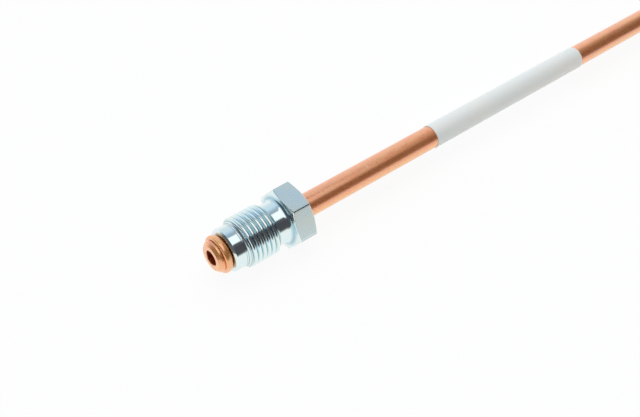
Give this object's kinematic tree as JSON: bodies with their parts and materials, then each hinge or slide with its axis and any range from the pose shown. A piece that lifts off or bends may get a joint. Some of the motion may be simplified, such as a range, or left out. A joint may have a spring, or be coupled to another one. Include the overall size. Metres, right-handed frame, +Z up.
{
  "type": "brake line",
  "caption": "Straight copper brake pipe with a formed flare and a loose male tube nut at each end, and a plain film sleeve wrapped round the pipe.",
  "frame": {"origin": "on the surface that the line lies on, under the middle of its length and under the pipe's axis", "axes": "+X along the pipe, from the front end with the film sleeve to the rear end; +Z up, square to the nut flats that the line lies on; +Y completes the right-handed frame"},
  "size_m": [0.55, 0.0128, 0.011],
  "materials": {
    "copper": "drawn copper with fine scratches",
    "zinc_plate": "bright zinc plate with a faint blue passivation",
    "white_film": "satin white film"
  },
  "bodies": {
    "line": {"brake_pipe": "copper", "film_sleeve": "white_film"},
    "front_nut": {"front_nut": "zinc_plate"},
    "rear_nut": {"rear_nut": "zinc_plate"}
  },
  "joints": [
    {"name": "front_nut_slide", "type": "slide", "parent": "line", "child": "front_nut", "axis": [1, 0, 0], "range_m": [0, 0.0341]},
    {"name": "rear_nut_slide", "type": "slide", "parent": "line", "child": "rear_nut", "axis": [-1, 0, 0], "range_m": [0, 0.43]}
  ]
}
